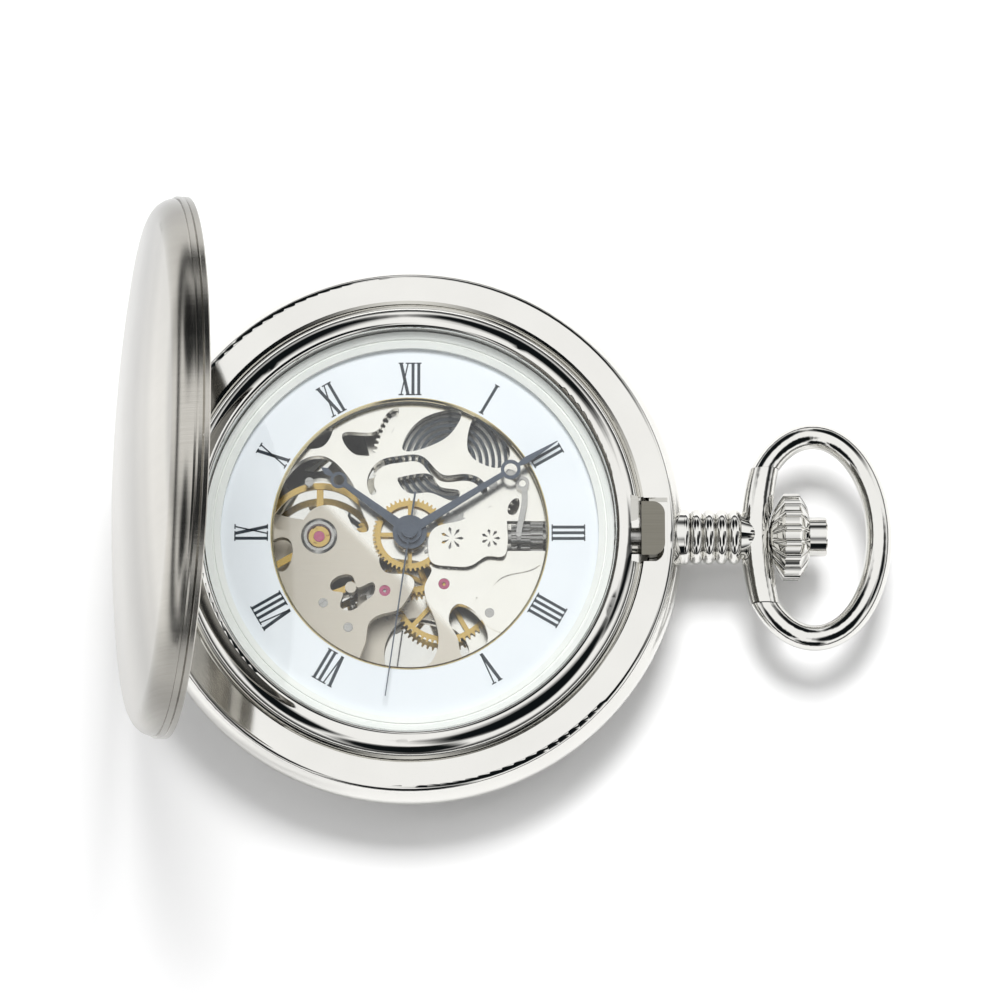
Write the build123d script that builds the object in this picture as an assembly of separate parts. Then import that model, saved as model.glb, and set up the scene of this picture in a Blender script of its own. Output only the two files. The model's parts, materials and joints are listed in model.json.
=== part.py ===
from build123d import *
import os
from math import atan2, cos, degrees, hypot, pi, radians, sin, sqrt

# Hunter-case skeleton pocket watch, lying on its back with the front cover open.
# Millimetres. The origin is on the flat back, under the axis of the hands:
# +X points at the crown, +Y at twelve o'clock and +Z out of the dial.

# Case
CASE_RADIUS = 24.0
FLANGE_OUTER = 23.1
FLANGE_INNER = 20.7
FLANGE_TOP = 8.6
WIDEST_Z = 6.8
BACK_FLAT_RADIUS = 15.5
BACK_JOINT_Z = 4.4
BACK_FLOOR = 0.9
CAVITY_RADIUS = 19.6
BEZEL_INNER = 18.05
BEZEL_OUTER = 20.4
BEZEL_TOP = 9.6
BEZEL_SEAT_Z = 7.45
CRYSTAL_RADIUS = 18.0
CRYSTAL_EDGE_Z = 8.55
CRYSTAL_THICK = 0.8
CRYSTAL_RISE = 0.6

# Front cover and its hinge, with the cover built shut and then turned open
COVER_RADIUS = 22.65
COVER_SEAT_Z = 8.65
COVER_RIM_HIGH = 1.1
COVER_DEPTH = 4.6
COVER_THICK = 0.5
COVER_ROLL = 2.03
COVER_ROLL_START = 9
COVER_ROLL_END = 80
COVER_OPEN = 79.8
HINGE_X = -23.6
HINGE_Z = 8.95
KNUCKLE_RADIUS = 0.75
PIN_RADIUS = 0.3
COVER_KNUCKLE_HALF = 1.6
CASE_KNUCKLE_END = 4.4

# Pendant, crown and bow, all on one axis along X
STEM_Z = 5.5
NECK_START = 21.1
NECK_END = 29.1
NECK_BORE = 1.4
BEAD_COUNT = 4
BEAD_PITCH = 1.12
BEAD_RADIUS = 2.45
BEAD_VALLEY = 2.0
COLLAR_END = 24.1
BAR_END_X = 31.2
BAR_MIDDLE_X = 30.5
BAR_HALF = 6.05
BAR_BORE = 0.9
BAR_MIDDLE_RADIUS = 1.4
BAR_END_RADIUS = 1.3
PIVOT_PIN = 0.4
PIVOT_LONG = 0.5
BOW_CENTRE_X = 35.55
BOW_HALF_X = 5.75
BOW_HALF_Y = 9.08
BOW_WIRE = 1.12
CROWN_START = 31.5
CROWN_END = 35.15
CROWN_RADIUS = 3.85
CROWN_FLUTES = 18
RIM_START = 33.0
RIM_END = 34.15
WELL_FLOOR = 34.0
BUTTON_RADIUS = 1.73
BUTTON_START = 34.6
BUTTON_END = 36.7
STEM_RADIUS = 0.8
STEM_THIN = 0.6
STEM_STEP_X = 14.5
STEM_TIP_X = 8.3
ROD_RADIUS = 0.4
ROD_END_X = 20.6
COLLAR_X = 21.05
COLLAR_LONG = 0.5

# Cover catch, in its slot through the flange at three o'clock
SLOT_START = 19.4
SLOT_END = 22.6
SLOT_HALF = 2.85
CATCH_START = 20.3
CATCH_END = 22.35
CATCH_HALF = 2.4
CATCH_TOP = 9.2

# Dial and hands
DIAL_LOW = 6.8
DIAL_HIGH = 7.2
DIAL_RADIUS = 17.9
DIAL_OPENING = 12.05
RING_INNER = 16.6
HOUR_HAND = (9.7, 7.8, 0.73, 306.7)
MINUTE_HAND = (15.3, 10.45, 0.87, 58.0)
SECONDS_HAND = (14.9, 3.5, 188.0)
HOUR_HAND_Z = 7.45
MINUTE_HAND_Z = 7.8
SECONDS_HAND_Z = 8.15
HAND_THICK = 0.2

# Movement, dial side up
PLATE_RADIUS = 15.5
PLATE_LOW = 4.7
PLATE_HIGH = 5.9
BRIDGE_LOW = 1.5
BRIDGE_HIGH = 2.2
RATCHET_LOW = 1.1
RATCHET_HIGH = 1.4
PIVOT_RADIUS = 0.14
RUNNING_GAP = 0.02
BARREL_AT = (3.5, 7.1)
THIRD_AT = (3.0, -4.3)
ESCAPE_AT = (-2.2, -4.9)
FORK_AT = (-5.2, -4.6)
BALANCE_AT = (-8.0, 0.0)
MINUTE_WHEEL_AT = (3.7, -0.4)
SETTING_WHEEL_AT = (7.1, -0.4)
CROWN_WHEEL_AT = (11.3, 2.1)
LEVER_AT = (12.5, 3.2)
YOKE_AT = (9.9, 4.6)

# Tooth counts, each pair in mesh
BARREL_TEETH = 80
CENTRE_PINION = 14
CENTRE_TEETH = 64
THIRD_PINION = 8
THIRD_TEETH = 60
SECONDS_PINION = 8
SECONDS_TEETH = 70
ESCAPE_PINION = 7
ESCAPE_TEETH = 15
CANNON_TEETH = 12
MINUTE_TEETH = 24
MINUTE_PINION = 8
HOUR_TEETH = 48
SETTING_TEETH = 9
CROWN_UPPER_TEETH = 20
CROWN_LOWER_TEETH = 24
RATCHET_TEETH = 45
WINDING_TEETH = 12
BALANCE_RADIUS = 5.2


def disc(radius, low, high, at=(0.0, 0.0)):
    return Pos(at[0], at[1], (low + high) / 2) * Cylinder(radius, high - low)


def ring(outer, inner, low, high, at=(0.0, 0.0)):
    return disc(outer, low, high, at) - disc(inner, low - 1, high + 1, at)


def block(x0, x1, y0, y1, z0, z1):
    centre = Pos((x0 + x1) / 2, (y0 + y1) / 2, (z0 + z1) / 2)
    return centre * Box(x1 - x0, y1 - y0, z1 - z0)


def rod_x(radius, x0, x1):
    """A round bar on the axis of the stem."""
    return Pos((x0 + x1) / 2, 0, STEM_Z) * Rot(0, 90, 0) * Cylinder(radius, x1 - x0)


def rod_y(radius, y0, y1):
    """A round bar on the axis of the cover's hinge."""
    return Pos(HINGE_X, (y0 + y1) / 2, HINGE_Z) * Rot(90, 0, 0) * Cylinder(radius, y1 - y0)


def raised(face, low, high):
    """A plate with the outline of a face."""
    return Pos(0, 0, low) * extrude(face, high - low, dir=(0, 0, 1))


def flat(points, low, high):
    """A plate with straight edges between the points of its outline."""
    return raised(make_face(Polyline(*points, close=True)), low, high)


def smooth(points, low, high):
    """A plate whose outline is one smooth closed curve through the points."""
    return raised(make_face(Spline(*points, periodic=True)), low, high)


def strip(centre_line, width, low, high):
    """A strip of one width along an open curve, with round ends."""
    steps = 16
    left = []
    right = []
    for i in range(steps + 1):
        along = centre_line % (i / steps)
        aside = Vector(-along.Y, along.X) * (width / 2)
        left.append(centre_line @ (i / steps) + aside)
        right.append(centre_line @ (i / steps) - aside)
    tip = centre_line @ 1 + (centre_line % 1) * (width / 2)
    tail = centre_line @ 0 - (centre_line % 0) * (width / 2)
    right.reverse()
    round_tip = ThreePointArc(left[-1], tip, right[0])
    round_tail = ThreePointArc(right[-1], tail, left[0])
    return raised(make_face([Spline(*left), round_tip, Spline(*right), round_tail]), low, high)


def band(points, width, low, high):
    """A strip along a smooth curve through the points."""
    return strip(Spline(*points), width, low, high)


def outline(steps):
    """A closed face in the XZ plane. A pair of points is an arc through the first to the second."""
    here = steps[0]
    edges = []
    for step in steps[1:] + steps[:1]:
        if isinstance(step[0], tuple):
            edges.append(ThreePointArc(here, step[0], step[1]))
            here = step[1]
        else:
            edges.append(Line(here, step))
            here = step
    return Plane.XZ * make_face(edges)


def cap(radius, top, drop):
    """The two points of an arc that leaves the axis level at a height and falls by drop at the radius."""
    ball = (radius ** 2 + drop ** 2) / (2 * drop)
    middle = radius / 2
    return ((middle, top - ball + sqrt(ball ** 2 - middle ** 2)), (radius, top - drop))


def turned(steps):
    """A solid turned about Z from an outline of radius and height."""
    return revolve(outline(steps), Axis.Z)


def turned_x(steps):
    """A solid turned about the stem from an outline of X and radius."""
    return Pos(0, 0, STEM_Z) * revolve(outline(steps), Axis.X)


def around(shape, count, at=(0.0, 0.0)):
    """Equal copies of a shape round a vertical axis."""
    home = Pos(at[0], at[1], 0)
    return [home * Rot(0, 0, 360 * i / count) * home.inverse() * shape for i in range(count)]


def distance(a, b):
    return hypot(a[0] - b[0], a[1] - b[1])


def direction(a, b):
    """The angle from a to b, in degrees."""
    return degrees(atan2(b[1] - a[1], b[0] - a[0]))


def module_for(a, b, teeth_a, teeth_b):
    return 2 * distance(a, b) / (teeth_a + teeth_b)


def toothed(teeth, module, low, high, at=(0.0, 0.0), phase=0.0):
    """A spur gear. One tooth is centred on the angle given by phase."""
    radius = teeth * module / 2
    corners = ((radius - 1.1 * module, -0.3), (radius + 0.85 * module, -0.11))
    corners = corners + ((radius + 0.85 * module, 0.11), (radius - 1.1 * module, 0.3))
    points = []
    for tooth in range(teeth):
        for r, share in corners:
            angle = radians(phase) + (tooth + share) * 2 * pi / teeth
            points.append((at[0] + r * cos(angle), at[1] + r * sin(angle)))
    return flat(points, low, high)


def spoked(gear, spokes, rim_inner, hub, arm, low, high, at=(0.0, 0.0), turn=0.0):
    """Cuts the windows between a wheel's spokes."""
    window = ring(rim_inner, hub, low - 0.1, high + 0.1, at)
    for i in range(spokes):
        spoke = block(0, rim_inner + 1, -arm / 2, arm / 2, low - 1, high + 1)
        window = window - Pos(at[0], at[1], 0) * Rot(0, 0, turn + 360 * i / spokes) * spoke
    return gear - window


def gap_phase(angle, teeth):
    """The phase that puts the gap between two teeth at the angle."""
    return angle + 180 / teeth


# Case pieces


def case_outside():
    """The whole body of the watch, filled, from the back to the flange."""
    return turned([
        (0, 0), (BACK_FLAT_RADIUS, 0), ((20.7, 1.3), (23.45, BACK_JOINT_Z)),
        ((CASE_RADIUS, WIDEST_Z - 0.5), (FLANGE_OUTER + 0.25, FLANGE_TOP - 0.55)),
        ((FLANGE_OUTER + 0.05, FLANGE_TOP - 0.16), (FLANGE_OUTER - 0.42, FLANGE_TOP)), (0, FLANGE_TOP),
    ])


def case_back():
    wall_top = BACK_JOINT_Z - 0.05
    inside = turned([(0, BACK_FLOOR), (18.3, BACK_FLOOR), (21.7, 2.7), (21.7, 6), (0, 6)])
    above = disc(30, wall_top, 12)
    snap_ring = ring(21.7, 21.6, 3.4, 3.7)
    return case_outside() - inside - above + snap_ring - rod_x(2.0, 18, 26)


def case_middle():
    below_wall = turned([
        (0, -1), (30, -1), (30, BACK_JOINT_Z), (
            21.65, BACK_JOINT_Z,
        ), (21.65, 2.85), (CAVITY_RADIUS, 1.75), (0, 1.75),
    ])
    snap_groove = ring(22, 21.55, 3.3, 3.8)
    seat_radius = BEZEL_OUTER + 0.05
    bezel_seat = turned([
        (0, BEZEL_SEAT_Z), (seat_radius, BEZEL_SEAT_Z), (
            seat_radius, 8.25,
        ), (FLANGE_INNER, FLANGE_TOP), (0, FLANGE_TOP),
    ])
    body = case_outside() - below_wall - snap_groove - bezel_seat - disc(CAVITY_RADIUS, -1, 12)
    body = body - block(SLOT_START, 21.0, -SLOT_HALF, SLOT_HALF, 3.9, 12)
    body = body - block(SLOT_START, SLOT_END, -SLOT_HALF, SLOT_HALF, 7.7, 12)
    body = body - rod_x(2.0, 18, 26)
    return knuckled(body)


def knuckled(body):
    """Adds the case's two hinge knuckles and clears the room for the cover's own."""
    for side in (-1, 1):
        middle = side * (COVER_KNUCKLE_HALF + CASE_KNUCKLE_END) / 2 + side * 0.05
        half = (CASE_KNUCKLE_END - COVER_KNUCKLE_HALF) / 2 - 0.05
        body = body + rod_y(KNUCKLE_RADIUS, middle - half, middle + half)
        body = body + block(HINGE_X - 0.35, HINGE_X + 0.75, middle - half, middle + half, 7.6, HINGE_Z)
    room = COVER_KNUCKLE_HALF + 0.1
    body = body - rod_y(KNUCKLE_RADIUS + 0.1, -room, room)
    body = body - block(HINGE_X - 2, HINGE_X + 1.6, -room, room, 8.3, 12)
    return body - rod_y(PIN_RADIUS, -CASE_KNUCKLE_END - 1, CASE_KNUCKLE_END + 1)


def bezel():
    body = turned([
        (BEZEL_INNER, 7.3), (BEZEL_INNER, BEZEL_TOP - 0.5),
        ((BEZEL_INNER + 0.15, BEZEL_TOP - 0.15), (BEZEL_INNER + 0.55, BEZEL_TOP)),
        ((19.55, 9.3), (20.2, 8.65)), (BEZEL_OUTER, 8.3), (BEZEL_OUTER, BEZEL_SEAT_Z + 0.01),
        (CAVITY_RADIUS - 0.1, BEZEL_SEAT_Z + 0.01), (CAVITY_RADIUS - 0.1, 7.3),
    ])
    return body - block(19.35, 24, -2.95, 2.95, 7, 12)


def crystal_ring():
    """The pale ring under the edge of the glass, with a step turned in it."""
    return turned([
        (RING_INNER, DIAL_HIGH + 0.02), (RING_INNER, 7.75), (17.15, 8.0), (17.2, 7.9),
        (17.3, 7.9), (17.35, 8.05), (17.95, 8.3), (17.95, DIAL_HIGH + 0.02),
    ])


def crystal():
    """A glass dome with a flat seat round its edge."""
    inside = turned([
        (0, CRYSTAL_EDGE_Z + CRYSTAL_RISE),
        cap(CRYSTAL_RADIUS - 0.5, CRYSTAL_EDGE_Z + CRYSTAL_RISE, CRYSTAL_RISE),
        (CRYSTAL_RADIUS - 0.5, 7), (0, 7),
    ])
    top = CRYSTAL_EDGE_Z + CRYSTAL_THICK + CRYSTAL_RISE
    foot = CRYSTAL_EDGE_Z - 0.2
    outside = turned([(0, top), cap(CRYSTAL_RADIUS, top, CRYSTAL_RISE), (CRYSTAL_RADIUS, foot), (0, foot)])
    return outside - inside


def opened(shape):
    """Turns the cover from shut to its rest place, open."""
    return shape.rotate(Axis((HINGE_X, 0, HINGE_Z), (0, 1, 0)), -COVER_OPEN)


def cover_dome(inset):
    """The solid under the cover's dome: a gently curved crown that rolls over smoothly into the rim."""
    top = COVER_SEAT_Z + COVER_DEPTH - inset
    last = radians(COVER_ROLL_END)
    centre_radius = COVER_RADIUS - 0.2 - COVER_ROLL * sin(last)
    centre_z = COVER_SEAT_Z + COVER_RIM_HIGH + 0.2 - COVER_ROLL * cos(last)
    roll = []
    for lean in (COVER_ROLL_START, (COVER_ROLL_START + COVER_ROLL_END) / 2, COVER_ROLL_END):
        along, up = sin(radians(lean)), cos(radians(lean))
        roll.append((centre_radius + (COVER_ROLL - inset) * along, centre_z + (COVER_ROLL - inset) * up))
    start, middle, end = roll
    return turned([
        (0, top), cap(start[0], top, top - start[1]), (middle, end),
        (end[0], COVER_SEAT_Z), (0, COVER_SEAT_Z),
    ])


def front_cover():
    """A domed cover with a beaded rim, a notch for the catch and one hinge knuckle."""
    rim_top = COVER_SEAT_Z + COVER_RIM_HIGH
    groove = COVER_SEAT_Z + 0.55
    bead = turned([
        (21.9, COVER_SEAT_Z), (21.9, rim_top),
        (COVER_RADIUS - 0.06, rim_top), (COVER_RADIUS, rim_top - 0.15),
        (COVER_RADIUS, groove + 0.1), (COVER_RADIUS - 0.1, groove), (COVER_RADIUS, groove - 0.1),
        (COVER_RADIUS, COVER_SEAT_Z + 0.1), (COVER_RADIUS - 0.1, COVER_SEAT_Z),
    ])
    inner = COVER_RADIUS - 0.2 - COVER_THICK
    hollow = cover_dome(COVER_THICK) + disc(inner, COVER_SEAT_Z - 1, COVER_SEAT_Z + 0.5)
    dome = cover_dome(0) + bead - hollow
    half = CATCH_HALF + 0.2
    ledge_cut = block(CATCH_START, CATCH_END + 0.08, -half, half, 8.85, CATCH_TOP + 0.15)
    knuckle = rod_y(KNUCKLE_RADIUS, -COVER_KNUCKLE_HALF, COVER_KNUCKLE_HALF)
    web = block(HINGE_X, HINGE_X + 1.25, -COVER_KNUCKLE_HALF, COVER_KNUCKLE_HALF, 8.85, 9.55)
    bore = rod_y(PIN_RADIUS + 0.04, -3, 3)
    return opened(dome - ledge_cut + knuckle + web - bore)


def hinge_pin():
    return rod_y(PIN_RADIUS, -CASE_KNUCKLE_END, CASE_KNUCKLE_END)


def lid_catch():
    """The tongue that holds the cover shut, and its foot round the stem."""
    tongue = block(CATCH_START, CATCH_END, -CATCH_HALF, CATCH_HALF, 8.0, CATCH_TOP)
    tongue = fillet(tongue.edges().filter_by(Axis.Z).group_by(Axis.X)[-1], 1.1)
    under = block(21.7, 23, -3, 3, 7.9, 8.9)
    foot = block(CATCH_START, CATCH_START + 0.55, -CATCH_HALF + 0.1, CATCH_HALF - 0.1, 4.2, 8.0)
    return tongue + foot - under - rod_x(1.0, 19, 24)


def wall_spring(start, end):
    """A bent steel band that lies along the inside of the case wall."""
    centre_line = ThreePointArc(*[polar(19.05, angle) for angle in (start, (start + end) / 2, end)])
    return strip(centre_line, 0.6, 3.0, 4.5)


def polar(radius, angle):
    return (radius * cos(radians(angle)), radius * sin(radians(angle)))


def pendant_neck():
    """The beaded neck, let into the side of the case."""
    x = NECK_END - BEAD_COUNT * BEAD_PITCH
    steps = [(NECK_START, 0), (NECK_START, 2.0), (22.6, 2.0), (22.6, BEAD_RADIUS), (COLLAR_END, BEAD_RADIUS)]
    steps.append(((x - 0.12, BEAD_RADIUS - 0.1), (x, BEAD_VALLEY)))
    for bead in range(BEAD_COUNT):
        steps.append(((x + BEAD_PITCH / 2, BEAD_RADIUS), (x + BEAD_PITCH, BEAD_VALLEY)))
        x = x + BEAD_PITCH
    steps.append((NECK_END, 0))
    tenon = rod_x(2.0, NECK_START, COLLAR_END)
    return turned_x(steps) - case_outside() + tenon - rod_x(NECK_BORE, 20, 30)


def bar_section(y):
    """A round section of the crossbar, which bends away from the case towards its ends."""
    share = (y / BAR_HALF) ** 2
    x = BAR_MIDDLE_X + (BAR_END_X - BAR_MIDDLE_X) * share
    radius = BAR_MIDDLE_RADIUS + (BAR_END_RADIUS - BAR_MIDDLE_RADIUS) * share
    return Plane(origin=(x, y, STEM_Z), x_dir=(1, 0, 0), z_dir=(0, 1, 0)) * Circle(radius)


def pivots(radius, end):
    """Two short round bars on the axis of the bow, from inside the crossbar's ends out to a given end."""
    start = BAR_HALF - 0.8
    rod = Rot(90, 0, 0) * Cylinder(radius, end - start)
    return [Pos(BAR_END_X, side * (end + start) / 2, STEM_Z) * rod for side in (-1, 1)]


def crown_dome(gap):
    """The domed side of the crown that faces the case, grown by a gap."""
    start = CROWN_START - gap
    edge = CROWN_RADIUS + gap
    rise = ((start + 0.45, edge * 0.54), (RIM_START - 0.1 - gap, edge))
    return turned_x([(start, 0), rise, (RIM_START, edge), (RIM_START, 0)])


def pendant_bar():
    """The crossbar that the bow swings on, hollowed on one side for the crown to nest in."""
    bar = loft([bar_section(BAR_HALF * share / 3) for share in range(-3, 4)])
    root = NECK_END + 0.01
    boss = turned_x([(root, 0), (root, BEAD_VALLEY), (30.4, 1.35), (30.4, 0)])
    body = bar + boss - block(27, root, -4, 4, 0, 12) - crown_dome(0.12) - rod_x(BAR_BORE, 26, 33)
    for pin in pivots(PIVOT_PIN, BAR_HALF + PIVOT_LONG):
        body = body + pin
    return body


def bow_ring():
    """An oval wire ring, cut off square at the ends of the crossbar and drilled for its two pivots."""
    wire_path = Pos(BOW_CENTRE_X, 0, STEM_Z) * Ellipse(BOW_HALF_X, BOW_HALF_Y).edge()
    start = wire_path @ 0
    wire = sweep(Plane(origin=start, z_dir=wire_path % 0) * Circle(BOW_WIRE), path=wire_path)
    end = BAR_HALF + 0.05
    body = wire - block(27, 33, -end, end, 0, 12)
    for hole in pivots(PIVOT_PIN + RUNNING_GAP, end + PIVOT_LONG):
        body = body - hole
    return body


def flute(x, radius, slope, width, length):
    """One round groove for the crown, laid at a slope to the stem, before it is turned into its place."""
    return Pos(x, 0, radius) * Rot(0, slope, 0) * Cylinder(width, length)


def crown():
    """The fluted winding knob: a ribbed dome, a scalloped rim and a tapered front round the button."""
    front = turned_x([
        (RIM_START, 0), (RIM_START, CROWN_RADIUS), (RIM_END, CROWN_RADIUS),
        ((34.7, 3.1), (CROWN_END, BUTTON_RADIUS + 0.3)), (CROWN_END, 0),
    ])
    body = crown_dome(0) + front
    dome_groove = flute(32.3, 2.98, 33, 0.3, 3.0)
    rim_groove = flute(33.5, CROWN_RADIUS + 0.1, 90, 0.4, 4)
    front_groove = flute(34.95, 3.0, -30, 0.3, 3.0)
    for i in range(CROWN_FLUTES):
        turn = Pos(0, 0, STEM_Z) * Rot(360 * i / CROWN_FLUTES, 0, 0)
        for groove in (dome_groove, rim_groove, front_groove):
            body = body - turn * groove
    return body - rod_x(BUTTON_RADIUS + 0.05, WELL_FLOOR, 36) - rod_x(STEM_RADIUS, 30, WELL_FLOOR)


def crown_button():
    """The release button, its long rod inside the stem, and the collar that pushes the catch."""
    head = rod_x(BUTTON_RADIUS, BUTTON_START, BUTTON_END)
    head = chamfer(head.edges().group_by(Axis.X)[-1], 0.12)
    rod = rod_x(ROD_RADIUS, ROD_END_X, BUTTON_START)
    collar = rod_x(1.3, COLLAR_X, COLLAR_X + COLLAR_LONG) - rod_x(STEM_RADIUS + 0.05, 20, 23)
    middle = COLLAR_X + COLLAR_LONG / 2
    cross_pin = Pos(middle, 0, STEM_Z) * Rot(90, 0, 0) * Cylinder(0.2, 2.4)
    return head + rod + collar + cross_pin


def winding_stem():
    """The hollow stem, slotted for the button's cross pin, with the groove for the setting lever."""
    body = rod_x(STEM_RADIUS, STEM_STEP_X, WELL_FLOOR) + rod_x(STEM_THIN, STEM_TIP_X, STEM_STEP_X)
    body = body - rod_x(ROD_RADIUS + 0.05, 18, WELL_FLOOR)
    body = body - block(20.5, 21.65, -1, 1, STEM_Z - 0.25, STEM_Z + 0.25)
    return body - (rod_x(1, 12.05, 12.65) - rod_x(0.42, 12, 13))


def movement_ring():
    body = ring(CAVITY_RADIUS - 0.1, PLATE_RADIUS + 0.05, 4.9, 6.75)
    ledge = ring(PLATE_RADIUS + 0.05, 14.9, 6.05, 6.75)
    return body + ledge - rod_x(1.0, 10, 24) - block(14, 22, -1, 1, STEM_Z, 8)


def dial():
    """The dial ring, its opening edged with a chamfer."""
    return turned([
        (DIAL_OPENING + 0.2, DIAL_LOW), (DIAL_OPENING + 0.2, DIAL_HIGH),
        (DIAL_RADIUS, DIAL_HIGH), (DIAL_RADIUS, DIAL_LOW),
    ])


def aperture_ring():
    return turned([
        (DIAL_OPENING - 0.05, DIAL_LOW), (DIAL_OPENING - 0.05, DIAL_HIGH - 0.12),
        (DIAL_OPENING + 0.12, DIAL_HIGH + 0.03), (DIAL_OPENING + 0.19, DIAL_HIGH + 0.03),
        (DIAL_OPENING + 0.19, DIAL_LOW),
    ])


# Hands. Each is drawn pointing at twelve and then turned clockwise.


def ring_hand(size, boss, root, bore, low):
    """A hand with a slender arm, an open ring near the tip and a spear point."""
    length, ring_at, ring_radius, clock = size
    high = low + HAND_THICK
    inner_end = ring_at - ring_radius + 0.1
    outer_start = ring_at + ring_radius - 0.1
    arm = flat([(-root, 0.8), (root, 0.8), (0.22, inner_end), (-0.22, inner_end)], low, high)
    tip_width = 0.3
    tip = flat([
        (-0.12, outer_start), (0.12, outer_start), (tip_width, outer_start + 0.75),
        (0.03, length), (-0.03, length), (-tip_width, outer_start + 0.75),
    ], low, high)
    eye = ring(ring_radius, ring_radius * 0.66, low, high, (0, ring_at))
    hub = disc(boss, low, high) + disc(boss * 0.72, low - 0.12, low)
    return Rot(0, 0, -clock) * (arm + tip + eye + hub - disc(bore, low - 1, high + 1))


def hour_hand():
    return ring_hand(HOUR_HAND, 1.5, 0.42, 0.95, HOUR_HAND_Z)


def minute_hand():
    return ring_hand(MINUTE_HAND, 1.05, 0.38, 0.62, MINUTE_HAND_Z)


def seconds_hand():
    length, tail, clock = SECONDS_HAND
    low = SECONDS_HAND_Z
    high = low + 0.12
    needle = flat([(-0.09, -tail), (0.09, -tail), (0.045, length), (-0.045, length)], low, high)
    hub = disc(0.7, low, high + 0.12)
    return Rot(0, 0, -clock) * (needle + hub - disc(0.18, low - 1, high - 0.02))


# Plates and bridges


def plate_windows():
    """Every opening pierced through the main plate to show the works."""
    barrel_left = smooth(
        [(-0.7, 8.2), (0.4, 10.1), (2.2, 11.15), (4.5, 11.15), (3.9, 9.7), (2.6, 8.55)], 4, 7,
    )
    barrel_right = smooth(
        [(5.45, 10.5), (5.05, 9.0), (5.2, 7.5), (6.6, 6.4), (8.2, 6.3), (8.8, 7.4), (8.0, 9.0)], 4, 7,
    )
    tooth_view = smooth(
        [
            (-1.3, 11.6), (-2.4, 10.6), (-2.9, 9.6), (-6.0, 9.2), (-5.2, 7.6), (-3.3, 7.4), (-2.2, 8.6),
            (-1.2, 10.4),
        ],
        4, 7,
    )
    rim_view = smooth([(-9.6, 8.0), (-8.2, 9.2), (-6.9, 9.7), (-7.2, 8.7), (-8.4, 7.9)], 4, 7)
    balance_view = smooth([
        (-11.9, 0.9), (-12.0, 3.2), (-10.8, 5.6), (-9.3, 7.0), (-7.6, 7.2), (-5.9, 5.9), (-4.9, 4.4),
        (-4.2, 2.2), (-3.8, 0.4), (-4.6, 0.4), (-5.5, 1.8), (-6.9, 2.75), (-8.6, 2.4), (-9.9, 1.0),
    ], 4, 7)
    balance_edge = smooth([(-12.3, -0.5), (-10.5, -0.5), (-10.4, -2.0), (-11.2, -3.2), (-12.0, -2.8)], 4, 7)
    train_view = smooth(
        [
            (-2.7, -2.3), (-1.5, -3.4), (0, -3.6), (0.3, -3.9), (-0.2, -5.6), (-1.0, -6.6), (-2.4, -7.0),
            (-3.5, -7.7), (-3.9, -9.6), (-4.4, -11.2), (-1.5, -11.7), (1.8, -11.4), (2.5, -9.8),
            (1.8, -6.5), (1.4, -4.2), (1.9, -3.0), (0.4, -2.2), (-1.4, -2.0),
        ],
        4, 7,
    )
    pallet_view = smooth(
        [
            (-7.0, -4.4), (-6.6, -3.8), (-5.0, -3.7), (-4.6, -4.6), (-3.2, -4.2), (-3.1, -5.0),
            (-4.0, -5.9), (-5.3, -6.7), (-6.1, -6.3), (-5.9, -5.1), (-6.8, -4.9),
        ],
        4, 7,
    )
    third_view = smooth(
        [(3.55, -6.8), (4.3, -6.1), (5.2, -6.4), (6.8, -9.5), (6.2, -10.4), (4.7, -10.9), (4.2, -9.2)], 4,
        7,
    )
    pinion_view = smooth(
        [(-1.0, 5.3), (0.5, 5.6), (2.0, 5.4), (2.6, 4.5), (4.4, 3.9), (4.2, 3.4), (1.8, 3.9), (-0.6, 4.2)],
        4, 7,
    )
    s_slot = band(
        [
            (-3.3, 4.0), (-3.4, 5.4), (-2.6, 6.5), (-0.8, 6.95), (0.9, 6.95), (1.9, 5.95), (3.0, 5.2),
            (4.6, 5.3), (5.9, 5.0), (6.5, 4.1),
        ],
        0.62, 4, 7,
    )
    keyless = block(8.15, 12.95, -1.35, 1.35, 4, 7)
    stem_groove = rod_x(0.85, 12, 17) + block(12, 17, -0.85, 0.85, STEM_Z, 7)
    lower_right = band([(5.9, -5.6), (6.1, -7.3), (7.0, -8.3), (8.3, -8.8)], 0.22, 5.6, 7)
    side_edge = band([(7.5, -4.4), (8.6, -3.6), (10.0, -3.3), (11.4, -2.7)], 0.2, 5.6, 7)
    corner = smooth([(8.9, 1.9), (9.6, 2.6), (9.5, 3.4), (8.8, 3.0)], 4, 7)
    return [
        barrel_left, barrel_right, tooth_view, rim_view, balance_view, balance_edge, train_view, pallet_view,
        third_view, pinion_view, s_slot, keyless, stem_groove, lower_right, side_edge, corner,
    ]


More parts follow.
